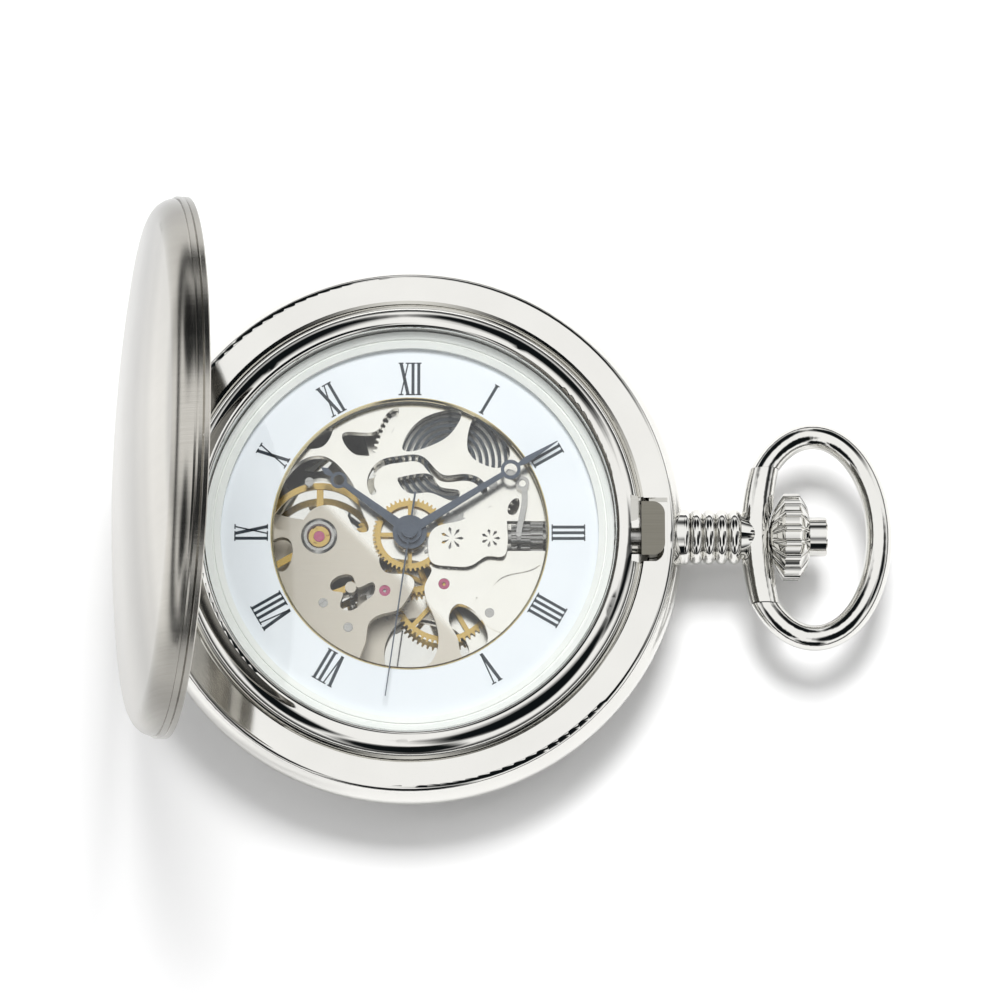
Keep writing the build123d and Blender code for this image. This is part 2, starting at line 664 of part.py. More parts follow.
def mainplate():
    """The pierced plate that carries the works, with jewel and pivot holes and two posts."""
    body = disc(PLATE_RADIUS, PLATE_LOW, PLATE_HIGH)
    for window in plate_windows():
        body = body - window
    body = body + ring(1.5, 0.6, PLATE_LOW, PLATE_HIGH) - disc(0.5, 0, 9)
    for at in (THIRD_AT, ESCAPE_AT):
        body = body + disc(0.85, PLATE_LOW, PLATE_HIGH, at) - disc(0.5, 4, 7, at)
    for at in (FORK_AT, MINUTE_WHEEL_AT, SETTING_WHEEL_AT, CROWN_WHEEL_AT):
        body = body + disc(0.5, PLATE_LOW, PLATE_HIGH, at)
    for at in (FORK_AT, CROWN_WHEEL_AT, BARREL_AT):
        body = body - disc(0.3, PLATE_LOW - 1, PLATE_HIGH - 0.2, at)
    body = body - disc(1.6, PLATE_LOW - 1, 7, BALANCE_AT)
    for at in plate_screw_places():
        body = body - disc(0.42, PLATE_HIGH - 0.6, 7, at)
    for at in (LEVER_AT, YOKE_AT, MINUTE_WHEEL_AT, SETTING_WHEEL_AT):
        top = 6.6 if at in (LEVER_AT, YOKE_AT) else 6.3
        body = body + disc(0.3, PLATE_HIGH - 0.1, top, at)
    return body


def plate_screw_places():
    return ((-7.6, -6.0), (-5.4, -8.2), (7.0, -6.9), (-8.9, 4.9), (3.3, 11.9), (7.3, 4.6))


def slotted_screw(at, radius, low, high, turn):
    slot = Pos(at[0], at[1], high) * Rot(0, 0, turn) * Box(2.5 * radius, 0.22 * radius + 0.06, 0.16)
    return disc(radius, low, high, at) - slot


def plate_screws():
    screws = []
    for i, at in enumerate(plate_screw_places()):
        screws.append(slotted_screw(at, 0.4, PLATE_HIGH - 0.58, PLATE_HIGH + 0.02, 35 + 50 * i))
    return Compound(children=screws)


def plate_jewels():
    top = PLATE_HIGH - 0.05
    bore = PIVOT_RADIUS + RUNNING_GAP
    return Compound(children=[ring(0.49, bore, 5.2, top, at) for at in (THIRD_AT, ESCAPE_AT)])


def shock_setting():
    """The raised ring round the balance jewel."""
    body = turned([(0.95, 5.0), (0.95, 5.75), (1.1, 5.95), (1.35, 5.95), (1.58, 5.85), (1.58, 5.0)])
    return Pos(BALANCE_AT[0], BALANCE_AT[1], 0) * body


def jewel_cup():
    """The gilt cup and clip that hold the balance jewel in its ring."""
    cup = ring(0.93, 0.5, 5.0, 5.7, BALANCE_AT)
    for notch in around(block(BALANCE_AT[0] + 0.62, BALANCE_AT[0] + 1.0, -0.16, 0.16, 5.5, 6), 3, BALANCE_AT):
        cup = cup - notch
    return cup


def balance_jewel():
    return disc(0.48, 5.25, 5.75, BALANCE_AT)


def bridge(points, feet, holes):
    """A bridge on the back of the movement, on feet that reach the main plate."""
    body = smooth(points, BRIDGE_LOW, BRIDGE_HIGH)
    for at in feet:
        body = body + disc(0.9, BRIDGE_LOW, PLATE_LOW, at) - disc(0.4, 1, 4, at)
    for at, radius in holes:
        body = body - disc(radius, 1, 3, at)
    return body


BARREL_FEET = ((-4.2, 12.6), (12.0, 7.6), (13.6, 4.4))
TRAIN_FEET = ((12.6, -3.6), (2.6, -13.4), (-6.2, -11.8))
COCK_FEET = ((-14.2, 2.2), (-13.6, -4.0))


def barrel_bridge():
    points = [
        (-5.2, 13.0), (-4.5, 11.0), (-2.0, 4.5), (1.0, 2.0), (6.0, 1.8), (13.6, 0.9), (14.7, 4.0),
        (12.6, 8.4), (7.5, 13.0), (0.5, 14.8),
    ]
    return bridge(points, BARREL_FEET, [(BARREL_AT, 0.62), (CROWN_WHEEL_AT, 0.4)])


def train_bridge():
    points = [
        (-4.0, 0.9), (0, 0.9), (5.0, 0.3), (13.0, -1.3), (14.4, -4.0), (10.0, -10.6), (3.2, -14.7),
        (-6.0, -12.9), (-6.9, -10.6), (-4.9, -6.4), (-4.9, -2.5),
    ]
    holes = [((0, 0), 0.16), (THIRD_AT, 0.16), (ESCAPE_AT, 0.16)]
    window = smooth([(-1.4, -7.4), (1.0, -6.6), (5.2, -9.6), (2.4, -12.2), (-2.0, -11.2)], 1, 3)
    return bridge(points, TRAIN_FEET, holes) - window


def balance_cock():
    points = [
        (-6.9, 1.5), (-8.6, 2.1), (-11.5, 2.7), (-14.6, 3.2), (-15.2, 0), (-14.5, -4.9), (-12.6, -4.9),
        (-10.2, -2.0), (-7.2, -1.6), (-6.2, 0),
    ]
    return bridge(points, COCK_FEET, [(BALANCE_AT, 0.16)])


def bridge_screws():
    screws = []
    for i, at in enumerate(BARREL_FEET + TRAIN_FEET + COCK_FEET):
        shank = disc(0.4, BRIDGE_LOW - 0.02, 3.9, at)
        slot = Pos(at[0], at[1], BRIDGE_LOW) * Rot(0, 0, 40 * i) * Box(2, 0.14, 0.2)
        screws.append(shank - slot)
    return Compound(children=screws)


# Going train


def arbor(at, low, high, radius=0.25):
    """A pivoted shaft: thin pivots at both ends of a thicker body."""
    return disc(PIVOT_RADIUS, low, high, at) + disc(radius, low + 0.65, high - 1.25, at)


def barrel():
    """The open barrel: a toothed drum whose cover is pierced to show the spring."""
    module = module_for(BARREL_AT, (0, 0), BARREL_TEETH, CENTRE_PINION)
    teeth = toothed(BARREL_TEETH, module, 4.15, 4.45, BARREL_AT, direction(BARREL_AT, (0, 0)))
    drum = disc(6.1, 3.35, 4.6, BARREL_AT) - disc(5.8, 3.55, 5, BARREL_AT)
    rim = ring(7, 5.8, 4.1, 4.5, BARREL_AT)
    return drum + (teeth & rim) - disc(0.62, 3, 5, BARREL_AT)


def mainspring():
    """The coiled spring lying in the drum, wound to about half."""
    turns = 7
    coils = []
    for i in range(turns):
        outer = 1.75 + 0.56 * (i + 1)
        coils.append(ring(outer, outer - 0.3, 3.57, 4.5, BARREL_AT))
    hook = block(BARREL_AT[0] - 0.1, BARREL_AT[0] + 0.1, BARREL_AT[1] + 1.9, BARREL_AT[1] + 5.6, 3.57, 3.75)
    spring = hook
    for coil in coils:
        spring = spring + coil
    return spring


def ratchet_module():
    return module_for(BARREL_AT, CROWN_WHEEL_AT, RATCHET_TEETH, CROWN_LOWER_TEETH)


def ratchet_wheel():
    """The winding wheel on the square of the barrel arbor."""
    phase = direction(BARREL_AT, CROWN_WHEEL_AT)
    wheel = toothed(RATCHET_TEETH, ratchet_module(), RATCHET_LOW, RATCHET_HIGH, BARREL_AT, phase)
    return wheel - disc(0.5, 0, 2, BARREL_AT)


def barrel_arbor():
    body = disc(0.6, RATCHET_HIGH, 4.6, BARREL_AT) + disc(0.5, RATCHET_LOW, RATCHET_HIGH, BARREL_AT)
    return body + disc(0.28, 4.6, 5.5, BARREL_AT) + disc(1.4, 3.6, 4.4, BARREL_AT)


def crown_wheel():
    """Carries the winding from the stem's pinion down to the ratchet wheel."""
    phase = gap_phase(direction(CROWN_WHEEL_AT, BARREL_AT), CROWN_LOWER_TEETH)
    lower = toothed(CROWN_LOWER_TEETH, ratchet_module(), RATCHET_LOW, RATCHET_HIGH, CROWN_WHEEL_AT, phase)
    upper = disc(1.95, 3.7, 4.0, CROWN_WHEEL_AT)
    tooth = Pos(CROWN_WHEEL_AT[0], CROWN_WHEEL_AT[1], 0) * block(1.45, 1.95, -0.14, 0.14, 3.9, 4.2)
    for part in around(tooth, CROWN_UPPER_TEETH, CROWN_WHEEL_AT):
        upper = upper + part
    return lower + upper + disc(0.38, RATCHET_LOW, 4.0, CROWN_WHEEL_AT) + disc(0.28, 4.0, 5.5, CROWN_WHEEL_AT)


def click():
    """The pawl that keeps the ratchet wheel from running back."""
    tip_at = direction(BARREL_AT, (0, 14))
    x, y = BARREL_AT
    reach = ratchet_module() * RATCHET_TEETH / 2 + 0.4
    tip = (x + reach * cos(radians(tip_at)), y + reach * sin(radians(tip_at)))
    root = (tip[0] - 2.0, tip[1] - 0.9)
    arm = band([tip, (tip[0] - 0.9, tip[1] - 0.1), root], 0.4, RATCHET_LOW, RATCHET_HIGH)
    return arm + disc(0.55, RATCHET_LOW, RATCHET_HIGH, root)


def centre_wheel():
    """The hour-long wheel at the middle, on a hollow shaft."""
    mesh = module_for((0, 0), THIRD_AT, CENTRE_TEETH, THIRD_PINION)
    wheel = toothed(CENTRE_TEETH, mesh, 2.95, 3.15, (0, 0), direction((0, 0), THIRD_AT))
    wheel = spoked(wheel, 4, 4.0, 1.2, 0.5, 2.95, 3.15, turn=20)
    drive = module_for(BARREL_AT, (0, 0), BARREL_TEETH, CENTRE_PINION)
    phase = gap_phase(direction((0, 0), BARREL_AT), CENTRE_PINION)
    pinion = toothed(CENTRE_PINION, drive, 4.1, 4.5, (0, 0), phase)
    tube = disc(0.45, 2.9, 8.02)
    return wheel + pinion + tube + disc(0.7, 3.15, 4.1) - disc(0.22, 2, 9)


def cannon_pinion():
    mesh = module_for((0, 0), MINUTE_WHEEL_AT, CANNON_TEETH, MINUTE_TEETH)
    phase = gap_phase(direction((0, 0), MINUTE_WHEEL_AT), CANNON_TEETH)
    return toothed(CANNON_TEETH, mesh, 5.95, 6.25, (0, 0), phase) + disc(0.62, 6.2, 8.02) - disc(0.45, 5, 9)


def third_wheel():
    slow = module_for((0, 0), THIRD_AT, CENTRE_TEETH, THIRD_PINION)
    fast = module_for((0, 0), THIRD_AT, THIRD_TEETH, SECONDS_PINION)
    back = direction(THIRD_AT, (0, 0))
    pinion = toothed(THIRD_PINION, slow, 2.85, 3.25, THIRD_AT, gap_phase(back, THIRD_PINION))
    wheel = toothed(THIRD_TEETH, fast, 2.5, 2.65, THIRD_AT, back)
    wheel = spoked(wheel, 5, 4.05, 1.0, 0.4, 2.5, 2.65, THIRD_AT, 12)
    return wheel + pinion + disc(PIVOT_RADIUS, 1.6, 5.6, THIRD_AT) + disc(0.28, 2.3, 4.6, THIRD_AT)


def seconds_wheel():
    """The minute-long wheel below the centre wheel, whose long shaft carries the seconds hand."""
    fast = module_for((0, 0), THIRD_AT, THIRD_TEETH, SECONDS_PINION)
    drive = module_for((0, 0), ESCAPE_AT, SECONDS_TEETH, ESCAPE_PINION)
    phase = gap_phase(direction((0, 0), THIRD_AT), SECONDS_PINION)
    pinion = toothed(SECONDS_PINION, fast, 2.45, 2.8, (0, 0), phase)
    wheel = toothed(SECONDS_TEETH, drive, 2.28, 2.4, (0, 0), direction((0, 0), ESCAPE_AT))
    wheel = spoked(wheel, 4, 4.3, 0.9, 0.4, 2.28, 2.4, turn=50)
    shaft = disc(0.18, 2.3, 8.2) + disc(PIVOT_RADIUS, 1.6, 2.4)
    return wheel + pinion + shaft


def escape_wheel():
    """Club-like teeth on a light steel wheel."""
    drive = module_for((0, 0), ESCAPE_AT, SECONDS_TEETH, ESCAPE_PINION)
    phase = gap_phase(direction(ESCAPE_AT, (0, 0)), ESCAPE_PINION)
    pinion = toothed(ESCAPE_PINION, drive, 2.25, 2.9, ESCAPE_AT, phase)
    points = []
    for i in range(ESCAPE_TEETH):
        angle = 360 / ESCAPE_TEETH * i
        for radius, turn in ((1.65, 0), (2.2, 9), (2.25, 14), (1.7, 8)):
            x, y = polar(radius, angle + turn)
            points.append((ESCAPE_AT[0] + x, ESCAPE_AT[1] + y))
    wheel = spoked(flat(points, 3.4, 3.54), 4, 1.4, 0.45, 0.25, 3.4, 3.54, ESCAPE_AT)
    return wheel + pinion + disc(PIVOT_RADIUS, 1.6, 5.6, ESCAPE_AT) + disc(0.22, 2.3, 4.6, ESCAPE_AT)


def fork_place(along, across):
    """A point on the fork, measured from its pivot towards the balance and to its left."""
    angle = radians(direction(FORK_AT, BALANCE_AT))
    x = FORK_AT[0] + along * cos(angle) - across * sin(angle)
    y = FORK_AT[1] + along * sin(angle) + across * cos(angle)
    return (x, y)


def pallet_fork():
    """The lever: two arms round the escape wheel and a long arm to the balance."""
    half = ((0, 0.35), (4.0, 0.16), (4.5, 0.42), (4.75, 0.36), (4.45, 0.1))
    lever = half + tuple((along, -across) for along, across in reversed(half))
    arms = ((0.35, -0.5), (-0.35, -0.5), (-1.7, -1.1), (-1.7, -0.6), (-0.5, 0), (0.9, -1.5), (1.3, -1.3))
    body = flat([fork_place(*at) for at in lever], 3.2, 3.35) + disc(0.5, 3.2, 3.35, FORK_AT)
    body = body + flat([fork_place(*at) for at in arms], 3.2, 3.35)
    return body + disc(PIVOT_RADIUS, 2.3, 5.6, FORK_AT) + disc(0.24, 2.5, 4.6, FORK_AT)


def pallet_jewels():
    """Two small stones under the fork's arms, held clear of the wheel."""
    stones = []
    for along, across in ((-1.45, -0.85), (0.95, -1.25)):
        x, y = fork_place(along, across)
        stones.append(block(x - 0.12, x + 0.12, y - 0.3, y + 0.3, 3.02, 3.2))
    return Compound(children=stones)


def balance_wheel():
    """A plain gilt rim with three arms and its roller."""
    rim = ring(BALANCE_RADIUS, BALANCE_RADIUS - 0.55, 3.72, 4.15, BALANCE_AT)
    hub = ring(0.8, 0.3, 3.72, 4.0, BALANCE_AT)
    wheel = rim + hub
    for i in range(3):
        arm = block(0.5, BALANCE_RADIUS - 0.3, -0.3, 0.3, 3.8, 3.95)
        wheel = wheel + Pos(BALANCE_AT[0], BALANCE_AT[1], 0) * Rot(0, 0, 90 + 120 * i) * arm
    return wheel


def balance_staff():
    roller = disc(0.85, 3.5, 3.65, BALANCE_AT)
    x, y = BALANCE_AT
    angle = radians(direction(BALANCE_AT, FORK_AT))
    pin = disc(0.1, 3.4, 3.5, (x + 0.7 * cos(angle), y + 0.7 * sin(angle)))
    return roller + pin + disc(0.3, 2.4, 4.7, BALANCE_AT) + disc(PIVOT_RADIUS, 1.6, 5.2, BALANCE_AT)


def hairspring():
    """A flat spiral of fine wire below the balance."""
    turns = 6
    steps = 12
    x0, y0 = BALANCE_AT
    points = []
    for i in range(turns * steps + 1):
        x, y = polar(0.55 + 1.9 * i / (turns * steps), 360 * i / steps)
        points.append((x0 + x, y0 + y))
    inner = [(x0 + (x - x0) * 0.965, y0 + (y - y0) * 0.965) for x, y in points]
    ends = [Line(points[-1], inner[-1]), Line(inner[0], points[0])]
    return raised(make_face([Spline(*points), Spline(*inner)] + ends), 2.75, 2.9)


# Motion work and keyless work on the dial side


def motion_module():
    return module_for((0, 0), MINUTE_WHEEL_AT, CANNON_TEETH, MINUTE_TEETH)


def hour_module():
    return module_for((0, 0), MINUTE_WHEEL_AT, HOUR_TEETH, MINUTE_PINION)


def hour_wheel():
    wheel = toothed(HOUR_TEETH, hour_module(), 6.35, 6.5, (0, 0), direction((0, 0), MINUTE_WHEEL_AT))
    wheel = spoked(wheel, 4, 2.6, 1.4, 0.35, 6.35, 6.5)
    return wheel + disc(0.95, 6.35, 7.62) - disc(0.66, 5, 9)


def minute_wheel():
    back = direction(MINUTE_WHEEL_AT, (0, 0))
    wheel = toothed(MINUTE_TEETH, motion_module(), 6.0, 6.2, MINUTE_WHEEL_AT, back)
    pinion = toothed(MINUTE_PINION, hour_module(), 6.2, 6.55, MINUTE_WHEEL_AT, gap_phase(back, MINUTE_PINION))
    return wheel + pinion - disc(0.32, 5, 6.32, MINUTE_WHEEL_AT)


def setting_wheel():
    """A small wheel between the clutch and the minute wheel."""
    back = direction(SETTING_WHEEL_AT, MINUTE_WHEEL_AT)
    tooth_step = 360 / MINUTE_TEETH
    mate = (direction(MINUTE_WHEEL_AT, SETTING_WHEEL_AT) - direction(MINUTE_WHEEL_AT, (0, 0))) % tooth_step
    phase = back + 180 / SETTING_TEETH + mate * MINUTE_TEETH / SETTING_TEETH
    wheel = toothed(SETTING_TEETH, motion_module(), 6.0, 6.25, SETTING_WHEEL_AT, phase)
    return wheel - disc(0.32, 5, 7, SETTING_WHEEL_AT)


def setting_cover():
    """The polished lobed plate over the setting wheels, with a spoked view of each."""
    points = [
        (1.6, -1.2), (2.6, 0.75), (4.6, 1.25), (6.0, 2.4), (7.3, 3.1), (8.3, 2.2), (8.55, 0.6), (8.6, -0.8),
        (8.2, -2.0), (6.9, -2.0), (5.6, -2.75), (3.6, -2.9), (2.0, -2.6),
    ]
    body = smooth(points, 6.65, 6.82)
    for at, radius in ((MINUTE_WHEEL_AT, 1.05), (SETTING_WHEEL_AT, 0.85)):
        petal = flat([(0.25, 0), (radius * 0.8, -0.14), (radius, 0), (radius * 0.8, 0.14)], 6, 7)
        for window in around(Pos(at[0], at[1], 0) * petal, 7, at):
            body = body - window
    at = (7.15, 2.2)
    return body + disc(0.45, PLATE_HIGH, 6.65, at) - disc(0.3, 6.7, 7, at)


def on_stem(shape):
    """Turns a shape built about Z so that it lies along the stem."""
    return Pos(0, 0, STEM_Z) * Rot(0, 90, 0) * shape


def winding_pinion():
    """The pinion that turns the crown wheel."""
    body = on_stem(toothed(WINDING_TEETH, 0.2, 10.6, 11.7, (0, 0), 0))
    return body - rod_x(STEM_THIN + RUNNING_GAP, 10, 13)


def clutch():
    """The sliding pinion on the stem's square, grooved for the yoke."""
    body = on_stem(toothed(14, 0.14, 8.9, 10.55, (0, 0), 0))
    groove = rod_x(2, 9.4, 9.75) - rod_x(0.78, 9, 10)
    return body - groove - rod_x(STEM_THIN + RUNNING_GAP, 8, 11)


def setting_lever():
    """Follows the stem's groove when the crown is pulled."""
    x, y = LEVER_AT
    arm = band([(x + 0.3, y + 1.1), (x, y), (x - 0.15, 0.0)], 0.75, 6.2, 6.45)
    pin = disc(0.2, 6.0, 6.2, (x - 0.15, 0.0))
    return arm + disc(0.75, 6.2, 6.45, LEVER_AT) + pin - disc(0.32, 5, 7, LEVER_AT)


def yoke():
    """Slides the clutch, with a finger in its groove."""
    x, y = YOKE_AT
    arm = band([(x - 1.2, y + 1.0), (x, y), (x + 0.1, 2.4), (9.575, 0.0)], 0.5, 6.6, 6.75)
    finger = disc(0.14, 6.33, 6.6, (9.575, 0.0))
    return arm + disc(0.6, 5.92, 6.75, YOKE_AT) + finger - disc(0.32, 5, 7, YOKE_AT)


NODES = {
    "case_middle": case_middle,
    "case_back": case_back,
    "bezel": bezel,
    "crystal_ring": crystal_ring,
    "crystal": crystal,
    "front_cover": front_cover,
    "hinge_pin": hinge_pin,
    "lid_catch": lid_catch,
    "pendant_neck": pendant_neck,
    "pendant_bar": pendant_bar,
    "bow_ring": bow_ring,
    "crown": crown,
    "crown_button": crown_button,
    "winding_stem": winding_stem,
    "movement_ring": movement_ring,
    "dial": dial,
    "aperture_ring": aperture_ring,
    "hour_hand": hour_hand,
    "minute_hand": minute_hand,
    "seconds_hand": seconds_hand,
    "mainplate": mainplate,
    "plate_screws": plate_screws,
    "plate_jewels": plate_jewels,
    "shock_setting": shock_setting,
    "jewel_cup": jewel_cup,
    "balance_jewel": balance_jewel,
    "barrel_bridge": barrel_bridge,
    "train_bridge": train_bridge,
    "balance_cock": balance_cock,
    "bridge_screws": bridge_screws,
    "barrel": barrel,
    "mainspring": mainspring,
    "barrel_arbor": barrel_arbor,
    "ratchet_wheel": ratchet_wheel,
    "crown_wheel": crown_wheel,
    "click": click,
    "centre_wheel": centre_wheel,
    "cannon_pinion": cannon_pinion,
    "third_wheel": third_wheel,
    "seconds_wheel": seconds_wheel,
    "escape_wheel": escape_wheel,
    "pallet_fork": pallet_fork,
    "pallet_jewels": pallet_jewels,
    "balance_wheel": balance_wheel,
    "balance_staff": balance_staff,
    "hairspring": hairspring,
    "hour_wheel": hour_wheel,
    "minute_wheel": minute_wheel,
    "setting_wheel": setting_wheel,
    "setting_cover": setting_cover,
    "winding_pinion": winding_pinion,
    "clutch": clutch,
    "setting_lever": setting_lever,
    "yoke": yoke,
}

os.makedirs("parts", exist_ok=True)
for node, build in NODES.items():
    export_step(build(), f"parts/{node}.step")
export_step(wall_spring(14, 80), "parts/latch_spring.step")
export_step(wall_spring(104, 176), "parts/lift_spring.step")
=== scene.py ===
import json
import math

import bmesh
import bpy
from mathutils import Matrix, Vector


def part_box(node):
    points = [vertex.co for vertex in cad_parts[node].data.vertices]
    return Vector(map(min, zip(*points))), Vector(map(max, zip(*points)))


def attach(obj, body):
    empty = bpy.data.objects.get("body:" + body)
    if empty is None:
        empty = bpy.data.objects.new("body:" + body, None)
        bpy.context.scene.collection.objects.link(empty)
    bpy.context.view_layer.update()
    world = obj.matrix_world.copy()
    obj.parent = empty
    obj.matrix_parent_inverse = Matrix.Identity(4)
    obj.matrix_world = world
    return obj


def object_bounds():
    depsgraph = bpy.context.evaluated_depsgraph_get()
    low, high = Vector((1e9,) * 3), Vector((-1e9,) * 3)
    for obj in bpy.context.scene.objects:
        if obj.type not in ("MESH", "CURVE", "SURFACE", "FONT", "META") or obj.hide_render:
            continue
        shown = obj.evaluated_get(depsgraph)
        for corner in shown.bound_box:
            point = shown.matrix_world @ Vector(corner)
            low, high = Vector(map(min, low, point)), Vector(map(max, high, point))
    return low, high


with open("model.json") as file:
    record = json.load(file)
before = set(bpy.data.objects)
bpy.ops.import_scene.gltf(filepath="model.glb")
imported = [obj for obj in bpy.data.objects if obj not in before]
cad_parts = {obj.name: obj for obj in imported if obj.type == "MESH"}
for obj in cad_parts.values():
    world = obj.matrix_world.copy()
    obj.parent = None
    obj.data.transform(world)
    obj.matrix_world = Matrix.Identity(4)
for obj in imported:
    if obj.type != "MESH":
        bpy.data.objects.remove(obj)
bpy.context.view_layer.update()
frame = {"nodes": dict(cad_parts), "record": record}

MM = 0.001

# Where the dial's face is, in metres, and each node's material slot, read from the frame
DIAL_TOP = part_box("dial")[1].z
SLOT_OF = {s["node"]: s["material_slot"] for s in frame["record"]["subparts"]}


# Materials


def tint(hexa):
    """An sRGB hex colour as linear RGBA."""
    channels = [int(hexa[i:i + 2], 16) / 255 for i in (1, 3, 5)]
    linear = [c / 12.92 if c <= 0.04045 else ((c + 0.055) / 1.055) ** 2.4 for c in channels]
    return (*linear, 1.0)


def add(tree, kind, inputs=None, **settings):
    """Adds a node. An input is a value, or the output of another node."""
    made = tree.nodes.new(kind)
    for name, value in settings.items():
        setattr(made, name, value)
    for name, value in (inputs or {}).items():
        socket = made.inputs[name]
        if isinstance(value, bpy.types.NodeSocket):
            tree.links.new(value, socket)
        else:
            socket.default_value = value
    return made


def material(name):
    """A new material with only its output and a Principled shader, and the shader."""
    made = bpy.data.materials.new(name)
    made.use_nodes = True
    shader = made.node_tree.nodes["Principled BSDF"]
    return made, made.node_tree, shader


def blended(tree, factor, low, high):
    """A colour that runs from one hex to another with a factor."""
    mix = add(tree, "ShaderNodeMix", {"Factor": factor}, data_type="RGBA")
    mix.inputs[6].default_value = tint(low)
    mix.inputs[7].default_value = tint(high)
    return mix.outputs[2]


def between(tree, value, low, high):
    """A number that runs from low to high as the value runs from 0 to 1."""
    run = add(tree, "ShaderNodeMapRange", {"Value": value, "To Min": low, "To Max": high})
    return run.outputs["Result"]


def cloud(tree, vector, scale, detail, **more):
    """Noise from 0 to 1 over the given coordinates."""
    inputs = {"Vector": vector, "Scale": scale, "Detail": detail}
    inputs.update({name.capitalize(): value for name, value in more.items()})
    return add(tree, "ShaderNodeTexNoise", inputs).outputs["Fac"]


def drift(tree, size, detail):
    """A slow change over the piece, with spots about this many millimetres across."""
    return cloud(tree, place(tree), 1 / (size * MM), detail)


def roughen(tree, shader, height, strength, depth, **more):
    """Joins a bump to the shader. Its depth is in millimetres."""
    inputs = {"Height": height, "Strength": strength, "Distance": depth * MM}
    inputs.update({name.capitalize(): value for name, value in more.items()})
    bump = add(tree, "ShaderNodeBump", inputs)
    tree.links.new(bump.outputs["Normal"], shader.inputs["Normal"])


def give(tree, shader, colour, gloss):
    """Joins a colour and a roughness to the shader."""
    tree.links.new(colour, shader.inputs["Base Color"])
    tree.links.new(gloss, shader.inputs["Roughness"])


def maths(tree, kind, first, second):
    """One sum on two numbers."""
    return add(tree, "ShaderNodeMath", {0: first, 1: second}, operation=kind).outputs["Value"]


def place(tree, scale=(1, 1, 1), turn=(0, 0, 0)):
    """The piece's own coordinates, stretched and turned."""
    coords = add(tree, "ShaderNodeTexCoord")
    moved = add(tree, "ShaderNodeMapping", {
        "Vector": coords.outputs["Object"], "Scale": scale, "Rotation": turn,
    }, vector_type="POINT")
    return moved.outputs["Vector"]


BUFF_HAZE = 0.03


def polished_metal(name, low, high, rough):
    """Plated metal buffed on a mop: a clear mirror with faint swirls and a slow drift of gloss."""
    made, tree, shader = material(name)
    shader.inputs["Metallic"].default_value = 1.0
    slow = drift(tree, 6, 3.0)
    give(tree, shader, blended(tree, slow, low, high), between(tree, slow, rough, rough + BUFF_HAZE))
    roughen(tree, shader, drift(tree, 0.5, 4.0), 0.02, 0.002)
    return made


def brushed_metal(name, low, high, rough, turn, strength, line):
    """Metal drawn across an abrasive belt: fine straight scratches that pull the light across them."""
    made, tree, shader = material(name)
    shader.inputs["Metallic"].default_value = 1.0
    along = place(tree, (1 / (9 * MM), 1 / (line * MM), 1 / (line * MM)), (0, 0, turn))
    scratch = cloud(tree, along, 1.0, 4.0, roughness=0.65)
    give(tree, shader, blended(tree, scratch, low, high), between(tree, scratch, rough - 0.05, rough + 0.1))
    roughen(tree, shader, scratch, strength, 0.004)
    return made


# Painted reflection bands: how bright the satin's colour is painted along the cover, from the hinge (0) to
# the far rim (1), standing in for the light and dark the dome mirrors
PAINTED_REFLECTION_BANDS = [
    (0.0, 0.86), (0.45, 0.74), (0.66, 0.52), (0.76, 0.74),
    (0.84, 1.0), (0.91, 1.0), (0.95, 0.66), (0.98, 1.0),
]
COVER_FOOT, COVER_TIP = 9 * MM, 55 * MM
# Painted shade: the satin's colour is also darkened along the cover's width, from here to there, to this
# share
DARKENS_FROM, DARKENS_TO, DARKENS_BY = 2 * MM, 20 * MM, 0.6
# The top of the open cover's dome in the frame, and how far round it the shading follows the bare mesh
APEX = (-23.65 * MM, 0.0, 32.9 * MM)
FAN_RADIUS = 4 * MM


def tone(tree, value, stops):
    """A grey that runs through stops, each a place from 0 to 1 and a brightness."""
    ramp = add(tree, "ShaderNodeValToRGB", {"Fac": value})
    ramp.color_ramp.interpolation = "EASE"
    while len(ramp.color_ramp.elements) < len(stops):
        ramp.color_ramp.elements.new(1.0)
    for element, (at, level) in zip(ramp.color_ramp.elements, stops):
        element.position = at
        element.color = (level, level, level, 1.0)
    return ramp.outputs["Color"]


def times(tree, first, second):
    """Two colours multiplied."""
    both = {"Factor": 1.0, 6: first, 7: second}
    return add(tree, "ShaderNodeMix", both, data_type="RGBA", blend_type="MULTIPLY").outputs[2]


